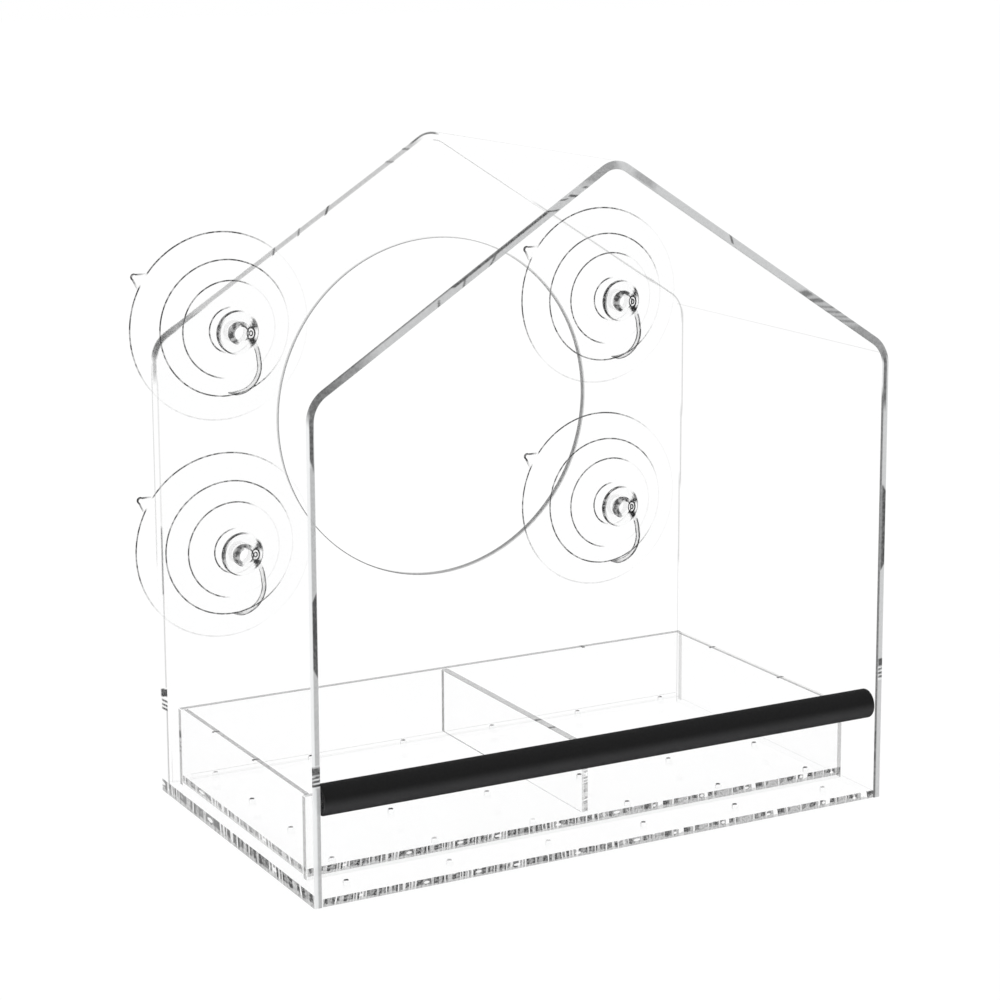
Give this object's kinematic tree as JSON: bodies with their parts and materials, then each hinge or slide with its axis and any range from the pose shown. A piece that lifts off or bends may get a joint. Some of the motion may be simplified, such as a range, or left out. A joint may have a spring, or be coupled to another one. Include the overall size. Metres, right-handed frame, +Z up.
{
  "type": "window bird feeder",
  "caption": "Clear house-shaped bird feeder with an open front, round back opening, padded perch and divided lift-out seed tray, held on a window by suction cups.",
  "frame": {"origin": "centre of the bounding box's footprint, at the underside of the floor panel", "axes": "+X to the right seen from the open front, +Y from the open front to the window pane, +Z up to the roof ridge"},
  "size_m": [0.2066, 0.1336, 0.2109],
  "materials": {
    "clear_acrylic": "polished",
    "clear_vinyl": "gloss",
    "clear_plastic": "gloss",
    "black_foam_rubber": "matte"
  },
  "bodies": {
    "house": {"house_shell": "clear_acrylic", "back_panel": "clear_acrylic", "floor_panel": "clear_acrylic", "perch_rod": "clear_acrylic", "perch_sleeve": "black_foam_rubber"},
    "tray": {"tray_floor": "clear_acrylic", "tray_front_wall": "clear_acrylic", "tray_back_wall": "clear_acrylic", "tray_left_wall": "clear_acrylic", "tray_right_wall": "clear_acrylic", "tray_divider": "clear_acrylic"},
    "cup_upper_left": {"suction_cup_upper_left": "clear_vinyl"},
    "cup_upper_right": {"suction_cup_upper_right": "clear_vinyl"},
    "cup_lower_left": {"suction_cup_lower_left": "clear_vinyl"},
    "cup_lower_right": {"suction_cup_lower_right": "clear_vinyl"},
    "hook_upper_left": {"cup_hook_upper_left": "clear_plastic"},
    "hook_upper_right": {"cup_hook_upper_right": "clear_plastic"},
    "hook_lower_left": {"cup_hook_lower_left": "clear_plastic"},
    "hook_lower_right": {"cup_hook_lower_right": "clear_plastic"}
  },
  "joints": [
    {"name": "tray_lift", "type": "slide", "parent": "house", "child": "tray", "axis": [0, -0.158, 0.9874], "range_m": [0, 0.1]},
    {"name": "cup_turn_upper_left", "type": "hinge", "parent": "house", "child": "cup_upper_left", "pos_m": [-0.0715, 0.0542, 0.14949], "axis": [0, 1, 0], "continuous": true},
    {"name": "cup_turn_upper_right", "type": "hinge", "parent": "house", "child": "cup_upper_right", "pos_m": [0.0715, 0.0542, 0.14949], "axis": [0, 1, 0], "continuous": true},
    {"name": "cup_turn_lower_left", "type": "hinge", "parent": "house", "child": "cup_lower_left", "pos_m": [-0.0715, 0.0542, 0.07638], "axis": [0, 1, 0], "continuous": true},
    {"name": "cup_turn_lower_right", "type": "hinge", "parent": "house", "child": "cup_lower_right", "pos_m": [0.0715, 0.0542, 0.07638], "axis": [0, 1, 0], "continuous": true},
    {"name": "hook_swing_upper_left", "type": "hinge", "parent": "house", "child": "hook_upper_left", "pos_m": [-0.0715, 0.0506, 0.14949], "axis": [0, 1, 0], "range_deg": [-134, 71]},
    {"name": "hook_swing_upper_right", "type": "hinge", "parent": "house", "child": "hook_upper_right", "pos_m": [0.0715, 0.0506, 0.14949], "axis": [0, 1, 0], "range_deg": [-68, 137]},
    {"name": "hook_swing_lower_left", "type": "hinge", "parent": "house", "child": "hook_lower_left", "pos_m": [-0.0715, 0.0506, 0.07638], "axis": [0, 1, 0], "continuous": true},
    {"name": "hook_swing_lower_right", "type": "hinge", "parent": "house", "child": "hook_lower_right", "pos_m": [0.0715, 0.0506, 0.07638], "axis": [0, 1, 0], "continuous": true}
  ]
}
